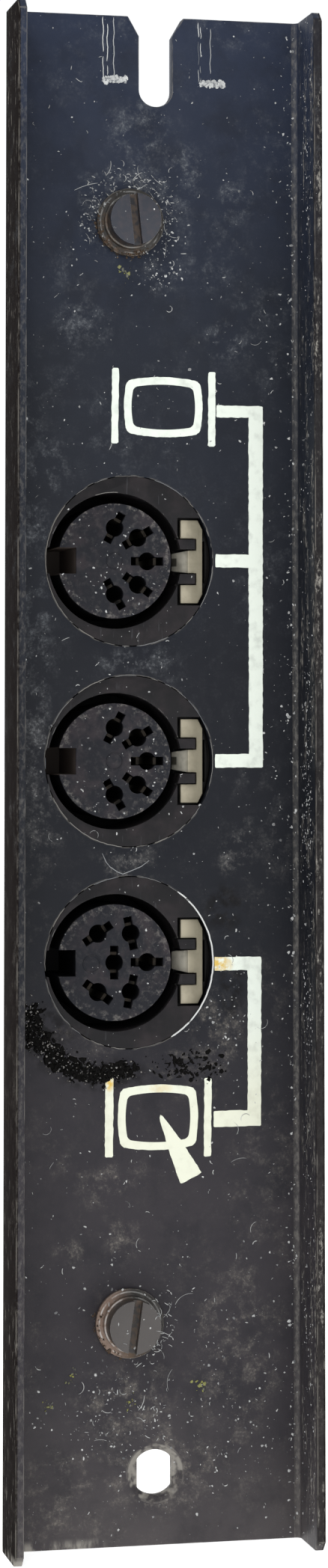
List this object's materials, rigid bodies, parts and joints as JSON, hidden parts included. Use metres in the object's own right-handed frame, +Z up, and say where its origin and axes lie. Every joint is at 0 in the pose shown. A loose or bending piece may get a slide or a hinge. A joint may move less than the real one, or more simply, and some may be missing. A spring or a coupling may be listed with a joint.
{
  "type": "audio patch bay",
  "caption": "Narrow black channel-shaped rack module with a column of flush round DIN sockets, printed link lines and display symbols, board and rear plug behind.",
  "frame": {"origin": "centre of the front panel's flat back face, which lies on the rack rails", "axes": "+Z up along the panel, +Y into the rack (the printed face looks along -Y), +X to the right as seen from the front"},
  "size_m": [0.0324, 0.0744, 0.16],
  "materials": {
    "panel_black": "satin stove enamel over aluminium, blue-black, scratched and dusty",
    "board_laminate": "paper-phenolic laminate, tan, satin",
    "bracket_steel": "zinc-plated sheet steel, dulled",
    "screw_black": "blackened steel, worn",
    "washer_rusty": "blackened spring steel, rusted",
    "nut_zinc": "zinc-plated steel",
    "rivet_tin": "tin-plated brass",
    "plug_phenolic": "brown phenolic moulding",
    "blade_silver": "silver-plated, tarnished",
    "socket_plastic": "black moulding, satin, dusty",
    "insert_plastic": "black moulding, matt, dusty",
    "contact_tin": "tin-plated, tarnished",
    "cover_plastic": "black moulding, satin",
    "clip_nickel": "nickel-plated spring brass, tarnished"
  },
  "bodies": {
    "module": {"channel_panel": "panel_black", "circuit_board": "board_laminate", "upper_bracket": "bracket_steel", "lower_bracket": "bracket_steel", "panel_screws": "screw_black", "plain_washers": "washer_rusty", "spring_washers": "washer_rusty", "panel_nuts": "nut_zinc", "bracket_rivets": "rivet_tin", "plug_rivets": "rivet_tin", "rear_plug_body": "plug_phenolic", "rear_plug_blades": "blade_silver", "upper_socket_housing": "socket_plastic", "upper_socket_insert": "insert_plastic", "upper_socket_contacts": "contact_tin", "upper_socket_cover": "cover_plastic", "middle_socket_housing": "socket_plastic", "middle_socket_insert": "insert_plastic", "middle_socket_contacts": "contact_tin", "middle_socket_cover": "cover_plastic", "lower_socket_housing": "socket_plastic", "lower_socket_insert": "insert_plastic", "lower_socket_contacts": "contact_tin", "lower_socket_cover": "cover_plastic"},
    "upper_clip": {"upper_earth_clip": "clip_nickel"},
    "middle_clip": {"middle_earth_clip": "clip_nickel"},
    "lower_clip": {"lower_earth_clip": "clip_nickel"}
  },
  "joints": [
    {"name": "upper_clip_flex", "type": "hinge", "parent": "module", "child": "upper_clip", "pos_m": [0.0047, 0.01, 0.0221], "axis": [0, 0, 1], "range_deg": [0, 1.5], "stiffness_Nm_per_rad": 0.4},
    {"name": "middle_clip_flex", "type": "hinge", "parent": "module", "child": "middle_clip", "pos_m": [0.0047, 0.01, 0.0011], "axis": [0, 0, 1], "range_deg": [0, 1.5], "stiffness_Nm_per_rad": 0.4},
    {"name": "lower_clip_flex", "type": "hinge", "parent": "module", "child": "lower_clip", "pos_m": [0.0047, 0.01, -0.0199], "axis": [0, 0, 1], "range_deg": [0, 1.5], "stiffness_Nm_per_rad": 0.4}
  ]
}
